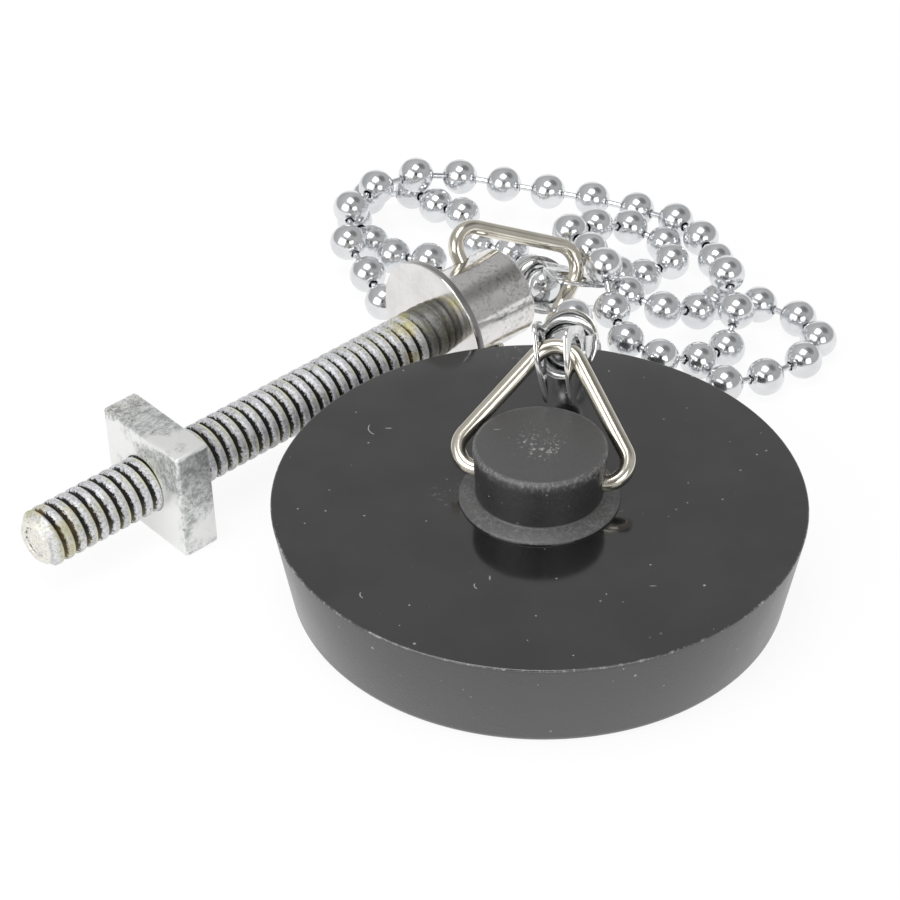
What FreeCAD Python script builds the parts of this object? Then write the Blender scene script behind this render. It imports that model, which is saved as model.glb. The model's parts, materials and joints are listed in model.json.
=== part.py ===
import FreeCAD, Part
import math
import os

# Basin plug on a ball chain with a bolt stay, lying in a loose heap on a flat surface.
# Millimetres. The origin is under the middle of the plug, Z is up.

vector = FreeCAD.Vector
doc = FreeCAD.newDocument("basin_plug")
sheet = doc.addObject("Spreadsheet::Sheet", "sizes")

sizes = [
    ("plug_top_dia", 41.0, "plug, across the upper rim"),
    ("plug_bottom_dia", 38.0, "plug, across the lower rim"),
    ("plug_height", 8.2, "plug, thickness of the disc"),
    ("plug_rim_bevel", 0.4, "plug, eased upper rim"),
    ("plug_base_bevel", 0.8, "plug, eased lower rim"),
    ("boss_top_dia", 10.1, "boss, across the flat top"),
    ("boss_neck_dia", 9.6, "boss, just above the foot"),
    ("boss_foot_dia", 12.4, "boss, flared foot on the disc"),
    ("boss_foot_height", 0.7, "boss, height of the foot"),
    ("boss_height", 4.9, "boss, height above the disc"),
    ("boss_bevel", 0.3, "boss, eased top edge"),
    ("boss_hole_height", 1.9, "boss, cross-hole above the disc"),
    ("wire_dia", 1.3, "ring, wire"),
    ("wire_play", 0.09, "ring, radial room of the wire in a cross-hole"),
    ("ring_half_base", 8.0, "ring, half the base between sharp corners"),
    ("ring_reach", 11.9, "ring, base to the sharp apex"),
    ("ring_corner_round", 1.7, "ring, bend at each end of the base"),
    ("ring_apex_round", 2.0, "ring, bend at the apex"),
    ("clip_sheet", 0.3, "clip, sheet thickness"),
    ("clip_gap", 2.0, "clip, between the cheeks"),
    ("clip_hole_dia", 2.7, "clip, hole for the ring"),
    ("clip_cheek", 2.1, "clip, hole to the edge of a cheek"),
    ("clip_cheek_round", 0.9, "clip, round at the top of a cheek"),
    ("clip_tip", 4.0, "clip, hole to the tip of a cheek"),
    ("clip_tip_width", 0.8, "clip, width of the tip"),
    ("clip_arm_height", 2.4, "clip, arm between cheek and cup"),
    ("clip_arm_start", 2.4, "clip, hole to where the arm splays"),
    ("clip_arm_end", 4.4, "clip, hole to where the arm meets the cup"),
    ("clip_reach", 5.5, "clip, hole to the middle of the cup"),
    ("cup_room", 0.2, "cup, room around the end ball"),
    ("cup_lip", 0.3, "cup, rim in front of its middle"),
    ("cup_hole_dia", 1.9, "cup, hole for the first link"),
    ("ball_dia", 3.2, "chain, ball"),
    ("ball_flat_dia", 1.8, "chain, flat at each end of a ball"),
    ("ball_hole_dia", 1.4, "chain, hole in a ball, across its corners"),
    ("ball_hole_depth", 0.9, "chain, depth of a hole"),
    ("link_dia", 0.7, "chain, link"),
    ("link_entry", 0.5, "chain, length of a link inside each ball"),
    ("flange_dia", 12.0, "stay, flange"),
    ("flange_thickness", 0.7, "stay, flange thickness"),
    ("flange_bevel", 0.12, "stay, eased edges of the flange"),
    ("head_dia", 7.8, "stay, barrel of the head"),
    ("head_length", 8.3, "stay, flange face to the end of the head"),
    ("head_bevel", 0.35, "stay, eased end of the head"),
    ("head_hole_reach", 5.26, "stay, flange face to the cross-hole"),
    ("stud_dia", 4.8, "stud, across the thread"),
    ("stud_length", 40.5, "stud, flange face to the tip"),
    ("stud_seat", 3.2, "stud, length inside the head"),
    ("stud_chamfer", 0.7, "stud, chamfer at the tip"),
    ("thread_room", 0.05, "stud, radial room in the nut and the head"),
    ("nut_width", 9.6, "nut, across the flats"),
    ("nut_thickness", 3.2, "nut, thickness"),
    ("nut_corner_round", 0.4, "nut, round at each corner"),
    ("nut_reach", 26.7, "nut, near face to the flange face"),
    ("plug_ring_swing", -11.0, "plug ring, direction of the base in degrees"),
    ("plug_ring_lean", 38.0, "plug ring, lean above the disc in degrees"),
    ("plug_clip_droop", -30.0, "plug clip, droop behind the ring in degrees"),
    ("stay_left", -8.3, "stay, flange face across"),
    ("stay_back", 5.5, "stay, flange face behind the plug's rim"),
    ("stay_swing", 41.2, "stay, direction of the head in degrees"),
    ("stay_ring_roll", 33.0, "stay ring, roll about the stay in degrees"),
    ("stay_ring_turn", -5.0, "stay ring, turn off the stay's line in degrees"),
    ("stay_ring_slide", -0.3, "stay ring, slide along the cross-hole"),
    ("stay_clip_along", 4.2, "stay clip, down the leg from the sharp apex"),
    ("stay_clip_turn", 40.0, "stay clip, turn about the leg in degrees"),
    ("stay_clip_tilt", 12.0, "stay clip, tilt across the leg in degrees"),
    ("stay_clip_roll", -20.0, "stay clip, roll about its own line in degrees"),
]
for row, (alias, value, note) in enumerate(sizes, start=1):
    sheet.set("A%d" % row, note)
    sheet.set("B%d" % row, str(value))
    sheet.setAlias("B%d" % row, alias)
doc.recompute()

tiny = 1e-6
ball_sides = 8
ball_bands = 3
rod_sides = 5
wire_sides = 8
pocket_sides = 4
cup_steps = 2
cup_sides = 10
eye_sides = 12
bend_steps = 5
upward = vector(0, 0, 1)


def size(alias):
    return float(sheet.get(alias))


def angle(alias):
    return math.radians(size(alias))


# A direction made of two square directions and the angle between them.
def blend(first, second, turn):
    return first * math.cos(turn) + second * math.sin(turn)


def unit(direction):
    return direction * (1.0 / direction.Length)


# A flat direction turned about the Z axis.
def turned(direction, turn):
    return blend(direction, vector(-direction.y, direction.x, 0), turn)


# A placement from an origin and the directions of the local X and Z axes.
def stand(origin, x_dir, z_dir):
    y_dir = z_dir.cross(x_dir)
    matrix = FreeCAD.Matrix(
        x_dir.x, y_dir.x, z_dir.x, origin.x,
        x_dir.y, y_dir.y, z_dir.y, origin.y,
        x_dir.z, y_dir.z, z_dir.z, origin.z,
        0, 0, 0, 1)
    return FreeCAD.Placement(matrix)


# A closed outline of straight lines, from (across, up, ease) corners that are rounded, bevelled or,
# given a number of steps, rounded by short straight lines.
def outline(corners, bevelled=False, steps=0):
    spots = [vector(across, up, 0) for across, up, bend in corners]
    starts = []
    ends = []
    arcs = []
    for index, spot in enumerate(spots):
        bend = corners[index][2]
        starts.append(spot)
        ends.append(spot)
        arcs.append(None)
        if bend > 0:
            back = unit(spots[index - 1] - spot)
            ahead = unit(spots[(index + 1) % len(spots)] - spot)
            half = back.getAngle(ahead) / 2
            run = bend / math.tan(half)
            middle = spot + unit(back + ahead) * (bend / math.sin(half))
            starts[index] = spot + back * run
            ends[index] = spot + ahead * run
            crown = middle + unit(spot - middle) * bend
            arcs[index] = [Part.Arc(starts[index], crown, ends[index])]
            if steps:
                spread = math.pi - 2 * half
                inward = middle - crown
                sweep = math.copysign(spread, back.cross(ahead).z * -1)
                turns = [sweep * (step / steps - 0.5) for step in range(steps + 1)]
                knots = [middle - turned(inward, turn) for turn in turns]
                arcs[index] = [Part.LineSegment(*pair) for pair in zip(knots[:-1], knots[1:])]
        if bend > 0 and bevelled:
            starts[index] = spot + back * bend
            ends[index] = spot + ahead * bend
            arcs[index] = [Part.LineSegment(starts[index], ends[index])]
    pieces = []
    for index in range(len(spots)):
        if arcs[index]:
            pieces.extend(arcs[index])
        following = (index + 1) % len(spots)
        if ends[index].distanceToPoint(starts[following]) > tiny:
            pieces.append(Part.LineSegment(ends[index], starts[following]))
    return pieces


def make_body(name):
    body = doc.addObject("PartDesign::Body", name)
    body.Label = name
    return body


def plane(body, role):
    return [item for item in body.Origin.OriginFeatures if item.Role == role][0]


def sketch(body, name, role, pieces):
    drawing = body.newObject("Sketcher::SketchObject", name)
    drawing.AttachmentSupport = (plane(body, role), "")
    drawing.MapMode = "FlatFace"
    for piece in pieces:
        drawing.addGeometry(piece, False)
    doc.recompute()
    return drawing


def revolve(body, name, drawing, axis):
    feature = body.newObject("PartDesign::Revolution", name)
    feature.Profile = drawing
    feature.ReferenceAxis = (drawing, [axis])
    feature.Angle = 360
    doc.recompute()
    return feature


def pad(body, name, drawing, length, side):
    feature = body.newObject("PartDesign::Pad", name)
    feature.Profile = drawing
    feature.SideType = side
    feature.setExpression("Length", length)
    doc.recompute()
    return feature


def cut_through(body, name, drawing):
    feature = body.newObject("PartDesign::Pocket", name)
    feature.Profile = drawing
    feature.Type = "ThroughAll"
    feature.SideType = "Symmetric"
    doc.recompute()
    return feature


# Flat-sided rings round the local X axis, (along, radius), joined by straight walls.
def loft(body, name, rings, kind):
    sections = []
    for index, (along, radius) in enumerate(rings):
        corner = radius / math.cos(math.pi / cup_sides)
        turns = [2 * math.pi * step / cup_sides for step in range(cup_sides)]
        corners = [(corner * math.cos(turn), corner * math.sin(turn), 0) for turn in turns]
        section = sketch(body, "%s_ring_%d" % (name, index), "YZ_Plane", outline(corners))
        section.AttachmentOffset = FreeCAD.Placement(vector(0, 0, along), FreeCAD.Rotation())
        sections.append(section)
    feature = body.newObject(kind, name)
    feature.Profile = sections[0]
    feature.Sections = sections[1:]
    feature.Ruled = True
    doc.recompute()
    return feature


def circle(across, up, radius):
    return Part.Circle(vector(across, up, 0), upward, radius)


wire_radius = size("wire_dia") / 2
hole_radius = wire_radius + size("wire_play")
ball_radius = size("ball_dia") / 2
cup_inside = ball_radius + size("cup_room")
cup_outside = cup_inside + size("clip_sheet")
plug_back = max(size("plug_top_dia"), size("plug_bottom_dia")) / 2

# Where the pieces lie. The plug ring leans back from its cross-hole in the boss.
plug_ring_base = vector(0, 0, size("plug_height") + size("boss_hole_height"))
plug_ring_along = blend(vector(1, 0, 0), vector(0, 1, 0), angle("plug_ring_swing"))
behind = upward.cross(plug_ring_along)
plug_ring_up = blend(behind, upward, angle("plug_ring_lean"))

# The plug clip hangs on the bent apex of its ring, its holes centred on the wire.
apex_half = math.atan2(size("ring_half_base"), size("ring_reach"))
apex_middle = size("ring_reach") - size("ring_apex_round") / math.sin(apex_half)
cheek_middle = (size("clip_gap") + size("clip_sheet")) / 2
clip_seat = apex_middle + math.sqrt(size("ring_apex_round") ** 2 - cheek_middle ** 2)
plug_clip_hole = plug_ring_base + plug_ring_up * clip_seat
plug_clip_along = blend(behind, upward, angle("plug_clip_droop"))
plug_clip_up = plug_ring_along.cross(plug_clip_along)

# The stay rests on the rim of its flange and a flat of its nut.
drop = (size("flange_dia") - size("nut_width")) / 2
stay_slope = math.asin(drop / (size("nut_reach") + size("nut_thickness")))
stay_face = vector(size("stay_left"), plug_back + size("stay_back"), size("flange_dia") / 2)
stay_level = blend(vector(1, 0, 0), vector(0, 1, 0), angle("stay_swing"))
stay_along = blend(stay_level, upward, stay_slope)
stay_side = unit(stay_along.cross(upward))
stay_top = stay_side.cross(stay_along)

# The stay ring passes through the head and lies past its end.
stay_ring_along = blend(stay_top, stay_side * -1, angle("stay_ring_roll"))
stay_ring_up = blend(stay_along, stay_ring_along.cross(stay_along), angle("stay_ring_turn"))
stay_hole = stay_face + stay_along * size("head_hole_reach")
stay_ring_base = stay_hole + stay_ring_along * size("stay_ring_slide")

# The stay clip has slipped down one leg of its ring.
stay_ring_apex = stay_ring_base + stay_ring_up * size("ring_reach")
leg_foot = stay_ring_base - stay_ring_along * size("ring_half_base")
leg = unit(leg_foot - stay_ring_apex)
leg_side = unit(leg.cross(upward))
stay_clip_hole = stay_ring_apex + leg * size("stay_clip_along")
stay_clip_level = blend(leg_side, leg.cross(leg_side), angle("stay_clip_turn"))
stay_clip_tip = leg.cross(stay_clip_level)
stay_clip_along = blend(stay_clip_level, leg * -1, angle("stay_clip_tilt"))
stay_clip_up = blend(stay_clip_tip * -1, stay_clip_tip.cross(stay_clip_along), angle("stay_clip_roll"))

# Plug: one moulding, a tapered disc with a boss, and a cross-hole for the ring.
plug = make_body("plug")
disc_top = size("plug_height")
boss_top = disc_top + size("boss_height")
plug_outline = sketch(plug, "plug_outline", "XZ_Plane", outline([
    (0, 0, 0),
    (size("plug_bottom_dia") / 2, 0, size("plug_base_bevel")),
    (size("plug_top_dia") / 2, disc_top, size("plug_rim_bevel")),
    (size("boss_foot_dia") / 2, disc_top, 0),
    (size("boss_neck_dia") / 2, disc_top + size("boss_foot_height"), 0),
    (size("boss_top_dia") / 2, boss_top, size("boss_bevel")),
    (0, boss_top, 0)], True))
revolve(plug, "plug_moulding", plug_outline, "V_Axis")
plug_hole = sketch(plug, "plug_hole", "YZ_Plane", [circle(0, plug_ring_base.z, hole_radius)])
cut_through(plug, "plug_cross_hole", plug_hole)
plug.Placement = stand(vector(0, 0, 0), plug_ring_along, upward)


# Ring: wire bent to a rounded triangle, its base through a cross-hole.
def make_ring(name, base, along, up):
    body = make_body(name)
    half_base = size("ring_half_base")
    bend = size("ring_corner_round")
    path = sketch(body, name + "_path", "XY_Plane", outline([
        (0, 0, 0),
        (half_base, 0, bend),
        (0, size("ring_reach"), size("ring_apex_round")),
        (-half_base, 0, bend)], False, bend_steps))
    turns = [2 * math.pi * index / wire_sides for index in range(wire_sides)]
    section = [(wire_radius * math.cos(turn), wire_radius * math.sin(turn), 0) for turn in turns]
    wire = sketch(body, name + "_wire", "YZ_Plane", outline(section))
    sweep = body.newObject("PartDesign::AdditivePipe", name + "_sweep")
    sweep.Profile = wire
    sweep.Spine = (path, ["Edge%d" % (index + 1) for index in range(path.GeometryCount)])
    sweep.Transition = "Right corner"
    doc.recompute()
    body.Placement = stand(base, along, along.cross(up))
    return body


plug_ring = make_ring("plug_ring", plug_ring_base, plug_ring_along, plug_ring_up)
stay_ring = make_ring("stay_ring", stay_ring_base, stay_ring_along, stay_ring_up)


# Clip: folded sheet, two cheeks on the ring and a cup that holds the end ball of the chain.
def make_clip(name, hole, along, up):
    body = make_body(name)
    cheek = size("clip_cheek")
    arm = size("clip_arm_height") / 2
    tip = size("clip_tip_width") / 2
    reach = size("clip_reach")
    side = sketch(body, name + "_side", "XZ_Plane", outline([
        (-cheek, cheek, size("clip_cheek_round")),
        (-cheek, -arm, size("clip_cheek_round")),
        (-tip, -size("clip_tip"), tip / 2),
        (tip, -size("clip_tip"), tip / 2),
        (cheek, -arm, 0),
        (reach, -arm, 0),
        (reach, arm, 0),
        (cheek, arm, 0),
        (cheek, cheek, size("clip_cheek_round") / 2)]))
    width = "2 * (sizes.ball_dia / 2 + sizes.cup_room + sizes.clip_sheet)"
    pad(body, name + "_blank", side, width, "Symmetric")
    start = size("clip_arm_start")
    end = size("clip_arm_end")
    inside = size("clip_gap") / 2
    outside = inside + size("clip_sheet")
    clear = 2 * reach
    channel = outline([
        (-clear, -inside, 0),
        (start, -inside, 0),
        (end, -cup_inside, 0),
        (clear, -cup_inside, 0),
        (clear, cup_inside, 0),
        (end, cup_inside, 0),
        (start, inside, 0),
        (-clear, inside, 0)])
    flank = outline([
        (-clear, outside, 0),
        (start, outside, 0),
        (end, cup_outside, 0),
        (end, clear, 0),
        (-clear, clear, 0)])
    other_flank = outline([
        (-clear, -outside, 0),
        (-clear, -clear, 0),
        (end, -clear, 0),
        (end, -cup_outside, 0),
        (start, -outside, 0)])
    folds = sketch(body, name + "_folds", "XY_Plane", channel + flank + other_flank)
    cut_through(body, name + "_cheeks", folds)
    lip = size("cup_lip")
    mouth = size("cup_hole_dia") / 2

    def shell(radius):
        front = math.acos(-lip / radius)
        back = math.asin(mouth / radius)
        rings = []
        for index in range(cup_steps + 1):
            turn = front + (back - front) * index / cup_steps
            rings.append((reach + radius * math.cos(turn), radius * math.sin(turn)))
        return rings

    outer = shell(cup_outside)
    inner = shell(cup_inside)
    loft(body, name + "_cup", outer, "PartDesign::AdditiveLoft")
    loft(body, name + "_bowl", inner + [(clear, mouth)], "PartDesign::SubtractiveLoft")
    eye_radius = size("clip_hole_dia") / 2
    turns = [2 * math.pi * index / eye_sides for index in range(eye_sides)]
    eye_outline = outline([(eye_radius * math.cos(turn), eye_radius * math.sin(turn), 0) for turn in turns])
    eye = sketch(body, name + "_eye", "XZ_Plane", eye_outline)
    cut_through(body, name + "_hole", eye)
    body.Placement = stand(hole, along, up)
    return body


plug_clip = make_clip("plug_clip", plug_clip_hole, plug_clip_along, plug_clip_up)
stay_clip = make_clip("stay_clip", stay_clip_hole, stay_clip_along, stay_clip_up)

# Stay head: turned barrel with a thin flange, bored for the stud and drilled for the ring.
stay_head = make_body("stay_head")
barrel = size("head_dia") / 2
flange = size("flange_dia") / 2
bore = size("stud_dia") / 2 + size("thread_room")
head_outline = sketch(stay_head, "head_outline", "XZ_Plane", outline([
    (bore, 0, 0),
    (flange, 0, size("flange_bevel")),
    (flange, size("flange_thickness"), size("flange_bevel")),
    (barrel, size("flange_thickness"), 0),
    (barrel, size("head_length"), size("head_bevel")),
    (0, size("head_length"), 0),
    (0, size("stud_seat"), 0),
    (bore, size("stud_seat"), 0)], True))
revolve(stay_head, "head_turning", head_outline, "V_Axis")
head_hole = sketch(stay_head, "head_hole", "YZ_Plane", [circle(0, size("head_hole_reach"), hole_radius)])
cut_through(stay_head, "head_cross_hole", head_hole)
stay_head.Placement = stand(stay_face, stay_ring_along, stay_along)

# Stud: screwed into the head up to the end of its bore.
stay_stud = make_body("stay_stud")
stud = size("stud_dia") / 2
bevel = size("stud_chamfer")
stud_outline = sketch(stay_stud, "stud_outline", "XZ_Plane", outline([
    (0, size("stud_seat"), 0),
    (0, -size("stud_length"), 0),
    (stud - bevel, -size("stud_length"), 0),
    (stud, bevel - size("stud_length"), 0),
    (stud, size("stud_seat"), 0)]))
revolve(stay_stud, "stud_bar", stud_outline, "V_Axis")
stay_stud.Placement = stand(stay_face, stay_ring_along, stay_along)

# Square nut on the stud, resting on one of its flats.
stay_nut = make_body("stay_nut")
flat = size("nut_width") / 2
bend = size("nut_corner_round")
nut_outline = outline([(-flat, -flat, bend), (flat, -flat, bend), (flat, flat, bend), (-flat, flat, bend)])
nut_face = sketch(stay_nut, "nut_face", "XY_Plane", nut_outline + [circle(0, 0, bore)])
pad(stay_nut, "nut_block", nut_face, "sizes.nut_thickness", "One side")
nut_near = size("nut_reach") + size("nut_thickness")
stay_nut.Placement = stand(stay_face - stay_along * nut_near, stay_side, stay_along)

# The lie of the chain: the middle of each ball, by stretches from the stay to the plug,
# as (across, behind the rim of the plug, above the floor).
stay_end_ball = stay_clip_hole + stay_clip_along * size("clip_reach")
plug_end_ball = plug_clip_hole + plug_clip_along * size("clip_reach")
route = [
    ("stay_end", [stay_end_ball, (0.4, 21.1, 1.6), (-1.2, 24.3, 1.6), (-4.4, 25.7, 1.6)]),
    ("left_under", [(-5.6, 28.7, 2.8), (-8.0, 31.3, 2.2), (-10.2, 34.7, 1.6), (-14.2, 33.7, 1.6)]),
    ("left_inside", [(-15.4, 29.7, 1.6), (-13.8, 25.9, 1.6), (-11.8, 23.1, 2.0), (-8.6, 21.7, 2.4)]),
    ("left_front", [(-6.2, 18.3, 1.6), (-8.6, 14.9, 1.6), (-12.6, 16.3, 1.6), (-14.0, 20.1, 2.0)]),
    ("left_over", [(-15.8, 23.5, 3.2), (-15.6, 27.3, 4.4), (-13.4, 30.9, 4.4), (-9.8, 32.7, 4.6)]),
    ("back_left", [(-5.8, 33.7, 3.8), (-1.8, 32.7, 3.6), (2.2, 31.7, 3.4), (6.2, 30.7, 3.2)]),
    ("back_right", [(10.2, 29.5, 2.8), (13.6, 27.3, 3.0), (15.6, 23.7, 3.4), (16.6, 19.7, 3.6)]),
    ("right_down", [(17.2, 15.7, 4.8), (17.8, 11.7, 3.6), (16.8, 8.7, 1.8), (14.2, 5.7, 2.6)]),
    ("front_turn", [(10.8, 4.1, 4.0), (8.0, 6.1, 4.4), (7.0, 9.5, 5.2), (6.4, 13.0, 7.4)]),
    ("middle_over", [(5.2, 16.9, 6.4), (3.8, 20.7, 6.0), (6.2, 23.9, 4.6), (9.4, 25.9, 3.2)]),
    ("middle_turn", [(12.4, 24.3, 2.4), (12.8, 20.5, 3.0), (10.2, 18.3, 2.8), (7.8, 16.3, 4.4)]),
    ("middle_front", [(8.4, 12.5, 4.8), (11.4, 10.7, 4.4), (14.6, 12.9, 2.8), (16.6, 16.1, 1.6)]),
    ("right_loop", [(20.2, 15.7, 1.6), (23.4, 13.5, 1.6), (24.8, 10.3, 1.6), (23.2, 6.9, 1.8)]),
    ("front_run", [(19.8, 4.7, 1.6), (16.2, 3.1, 2.0), (12.8, 1.9, 1.6), (9.4, 0.9, 1.6),
                   (6.2, 1.9, 2.8)]),
    ("plug_end", [(4.2, 3.1, 5.6), (3.2, 2.1, 8.8), (3.2, -0.7, 11.2), (2.8, -4.6, 12.0), plug_end_ball]),
]


# A regular polygon square to a direction.
def polygon(middle, direction, radius, sides):
    across = unit(direction.cross(vector(direction.y, direction.z, -direction.x)))
    aside = direction.cross(across)
    corners = []
    for index in range(sides):
        corners.append(middle + blend(across, aside, 2 * math.pi * index / sides) * radius)
    return corners


def facet(corners):
    return Part.Face(Part.makePolygon(corners + corners[:1]))


def prism(start, direction, length, radius, sides):
    return facet(polygon(start, direction, radius, sides)).extrude(direction * length)


# A hollow-ended ball: rings of corners from hole to hole, with a hole along each link.
def make_ball(middle, towards):
    axis = unit(towards[0] - towards[-1]) if len(towards) > 1 else towards[0]
    hole = size("ball_hole_dia") / 2
    end_angle = math.asin(size("ball_flat_dia") / 2 / ball_radius)
    rings = []
    for index in range(ball_bands + 1):
        tilt = end_angle + (math.pi - 2 * end_angle) * index / ball_bands
        level = middle + axis * (ball_radius * math.cos(tilt))
        rings.append(polygon(level, axis, ball_radius * math.sin(tilt), ball_sides))
    faces = [facet(rings[0]), facet(rings[-1])]
    for lower, upper in zip(rings[:-1], rings[1:]):
        for index in range(ball_sides):
            following = (index + 1) % ball_sides
            faces.append(facet([lower[index], lower[following], upper[following], upper[index]]))
    solid = Part.makeSolid(Part.makeShell(faces))
    if solid.Volume < 0:
        solid.reverse()
    depth = size("ball_hole_depth")
    holes = []
    for direction in towards:
        bottom = middle + direction * (ball_radius - depth)
        holes.append(prism(bottom, direction, 2 * depth, hole, pocket_sides))
    return solid.cut(holes)


def make_link(first, second):
    direction = unit(second - first)
    start = ball_radius - size("link_entry")
    length = (second - first).Length - 2 * start
    return prism(first + direction * start, direction, length, size("link_dia") / 2, rod_sides)


def add_group(name, shapes):
    group = doc.addObject("Part::Feature", name)
    group.Label = name
    group.Shape = Part.makeCompound(shapes)
    return group


spots = []
for name, middles in route:
    for middle in middles:
        if isinstance(middle, tuple):
            across, behind_rim, above = middle
            middle = vector(across, plug_back + behind_rim, above)
        spots.append(middle)
chain = []
number = 0
for name, middles in route:
    balls = []
    links = []
    for middle in middles:
        spot = spots[number]
        towards = []
        if number + 1 < len(spots):
            towards.append(unit(spots[number + 1] - spot))
        if number > 0:
            towards.append(unit(spots[number - 1] - spot))
            links.append(make_link(spots[number - 1], spot))
        balls.append(make_ball(spot, towards))
        number = number + 1
    chain.append(add_group("chain_balls_" + name, balls))
    chain.append(add_group("chain_links_" + name, links))

doc.recompute()

pieces = [plug, plug_ring, plug_clip, stay_ring, stay_clip, stay_head, stay_stud, stay_nut] + chain
for item in doc.Objects:
    if "Invalid" in item.State or "Error" in item.State:
        raise RuntimeError("not built: " + item.Label)
os.makedirs("parts", exist_ok=True)
for piece in pieces:
    if piece.Shape.isNull() or not piece.Shape.isValid():
        raise RuntimeError("bad shape: " + piece.Label)
    piece.Shape.exportStep("parts/" + piece.Label + ".step")
print("pieces", len(pieces), "balls", len(spots))
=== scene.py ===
import bpy
import bmesh
import json
import math
from mathutils import Matrix, Vector


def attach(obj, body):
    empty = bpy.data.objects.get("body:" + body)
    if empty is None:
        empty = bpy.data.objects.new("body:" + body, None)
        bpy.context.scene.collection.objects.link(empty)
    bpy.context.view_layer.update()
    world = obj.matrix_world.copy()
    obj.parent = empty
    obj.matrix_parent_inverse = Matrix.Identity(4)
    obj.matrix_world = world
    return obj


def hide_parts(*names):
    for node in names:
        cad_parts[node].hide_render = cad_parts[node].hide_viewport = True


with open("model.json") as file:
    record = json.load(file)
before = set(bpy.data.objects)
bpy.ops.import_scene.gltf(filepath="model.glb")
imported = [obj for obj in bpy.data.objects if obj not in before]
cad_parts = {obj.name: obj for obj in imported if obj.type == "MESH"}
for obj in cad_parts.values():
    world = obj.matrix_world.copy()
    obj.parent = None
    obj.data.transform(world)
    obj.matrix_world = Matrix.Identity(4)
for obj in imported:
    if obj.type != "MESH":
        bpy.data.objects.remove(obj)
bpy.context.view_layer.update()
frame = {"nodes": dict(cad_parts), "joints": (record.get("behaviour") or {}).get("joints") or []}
scene = bpy.context.scene
scene.view_settings.view_transform = "Standard"
mm = 0.001
joints = {joint["name"]: joint for joint in frame["joints"]}
print("frame loaded:", len(frame["nodes"]), "nodes")


# places, read from the joints of the frame

def jointPoint(name):
    return Vector(joints[name]["pos_m"])


def jointAxis(name):
    return Vector(joints[name]["axis"]).normalized()


def standing(origin, across, up):
    aside = up.cross(across)
    return Matrix((
        (across.x, aside.x, up.x, origin.x),
        (across.y, aside.y, up.y, origin.y),
        (across.z, aside.z, up.z, origin.z),
        (0, 0, 0, 1)))


layout = {
    "headHole": 5.26,      # flange face to the cross-hole, mm
    "stayRingTurn": -5.0,  # degrees
    "stayRingSlide": -0.3,
    "clipReach": 5.5,      # clip hole to the middle of its cup
    "stayClipRoll": -20.0,  # degrees about the clip's own line
}
skyward = Vector((0, 0, 1))
bossHole = jointPoint("plug_hinge")
plugRingAlong = -jointAxis("plug_hinge")
plugClipHole = jointPoint("plug_ring_hinge")
plugRingUp = (plugClipHole - bossHole).normalized()
plugClipAlong = jointAxis("plug_clip_swivel")
stayAlong = jointAxis("nut_slide")
staySide = stayAlong.cross(skyward).normalized()
stayHole = jointPoint("stay_hinge")
stayFace = stayHole - stayAlong * layout["headHole"] * mm
stayRingAlong = jointAxis("stay_hinge")
stayRingTurn = Matrix.Rotation(math.radians(layout["stayRingTurn"]), 3, stayRingAlong)
stayRingUp = stayRingTurn @ stayAlong
stayRingBase = stayHole + stayRingAlong * layout["stayRingSlide"] * mm
stayClipHole = jointPoint("stay_ring_hinge")
stayClipAlong = jointAxis("stay_clip_swivel")
stayClipTip = jointAxis("stay_ring_hinge").cross(stayClipAlong).normalized()

plugPlace = standing(Vector((0, 0, 0)), plugRingAlong, skyward)
plugRingPlace = standing(bossHole, plugRingAlong, plugRingAlong.cross(plugRingUp))
plugClipPlace = standing(plugClipHole, plugClipAlong, plugRingAlong.cross(plugClipAlong))
stayRingPlace = standing(stayRingBase, stayRingAlong, stayRingAlong.cross(stayRingUp))
stayClipRoll = Matrix.Rotation(math.radians(layout["stayClipRoll"]), 3, stayClipAlong)
stayClipPlace = standing(stayClipHole, stayClipAlong, stayClipRoll @ -stayClipTip)
stayPlace = standing(stayFace, stayRingAlong, stayAlong)
nutPlace = standing(stayFace, staySide, stayAlong)


# nodes and materials

def startMaterial(name):
    material = bpy.data.materials.new(name)
    material.use_nodes = True
    tree = material.node_tree
    shader = tree.nodes["Principled BSDF"]
    coords = tree.nodes.new("ShaderNodeTexCoord").outputs["Object"]
    return material, tree, shader, coords


def setInputs(node, values):
    for key, value in values.items():
        if isinstance(value, bpy.types.NodeSocket):
            node.id_data.links.new(value, node.inputs[key])
        else:
            node.inputs[key].default_value = value


def stretched(tree, coords, scale, turn=(0, 0, 0)):
    mapping = tree.nodes.new("ShaderNodeMapping")
    setInputs(mapping, {"Vector": coords, "Scale": scale, "Rotation": turn})
    return mapping.outputs["Vector"]


# coordinates in a piece's own frame
def ownCoords(tree, coords, place):
    mapping = tree.nodes.new("ShaderNodeMapping")
    mapping.vector_type = "TEXTURE"
    setInputs(mapping, {"Vector": coords, "Location": place.to_translation(), "Rotation": place.to_euler()})
    return mapping.outputs["Vector"]


def splitAxes(tree, coords):
    split = tree.nodes.new("ShaderNodeSeparateXYZ")
    setInputs(split, {"Vector": coords})
    return split.outputs["X"], split.outputs["Y"], split.outputs["Z"]


def noise(tree, coords, scale, detail=3.0, roughness=0.55):
    node = tree.nodes.new("ShaderNodeTexNoise")
    setInputs(node, {"Vector": coords, "Scale": scale, "Detail": detail, "Roughness": roughness})
    return node.outputs["Fac"]


# small separate marks: cells a metre over scale apart, each mark a share of its cell
def flecks(tree, coords, scale, share):
    node = tree.nodes.new("ShaderNodeTexVoronoi")
    setInputs(node, {"Vector": coords, "Scale": scale})
    return remap(tree, node.outputs["Distance"], share, share * 0.5)


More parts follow.
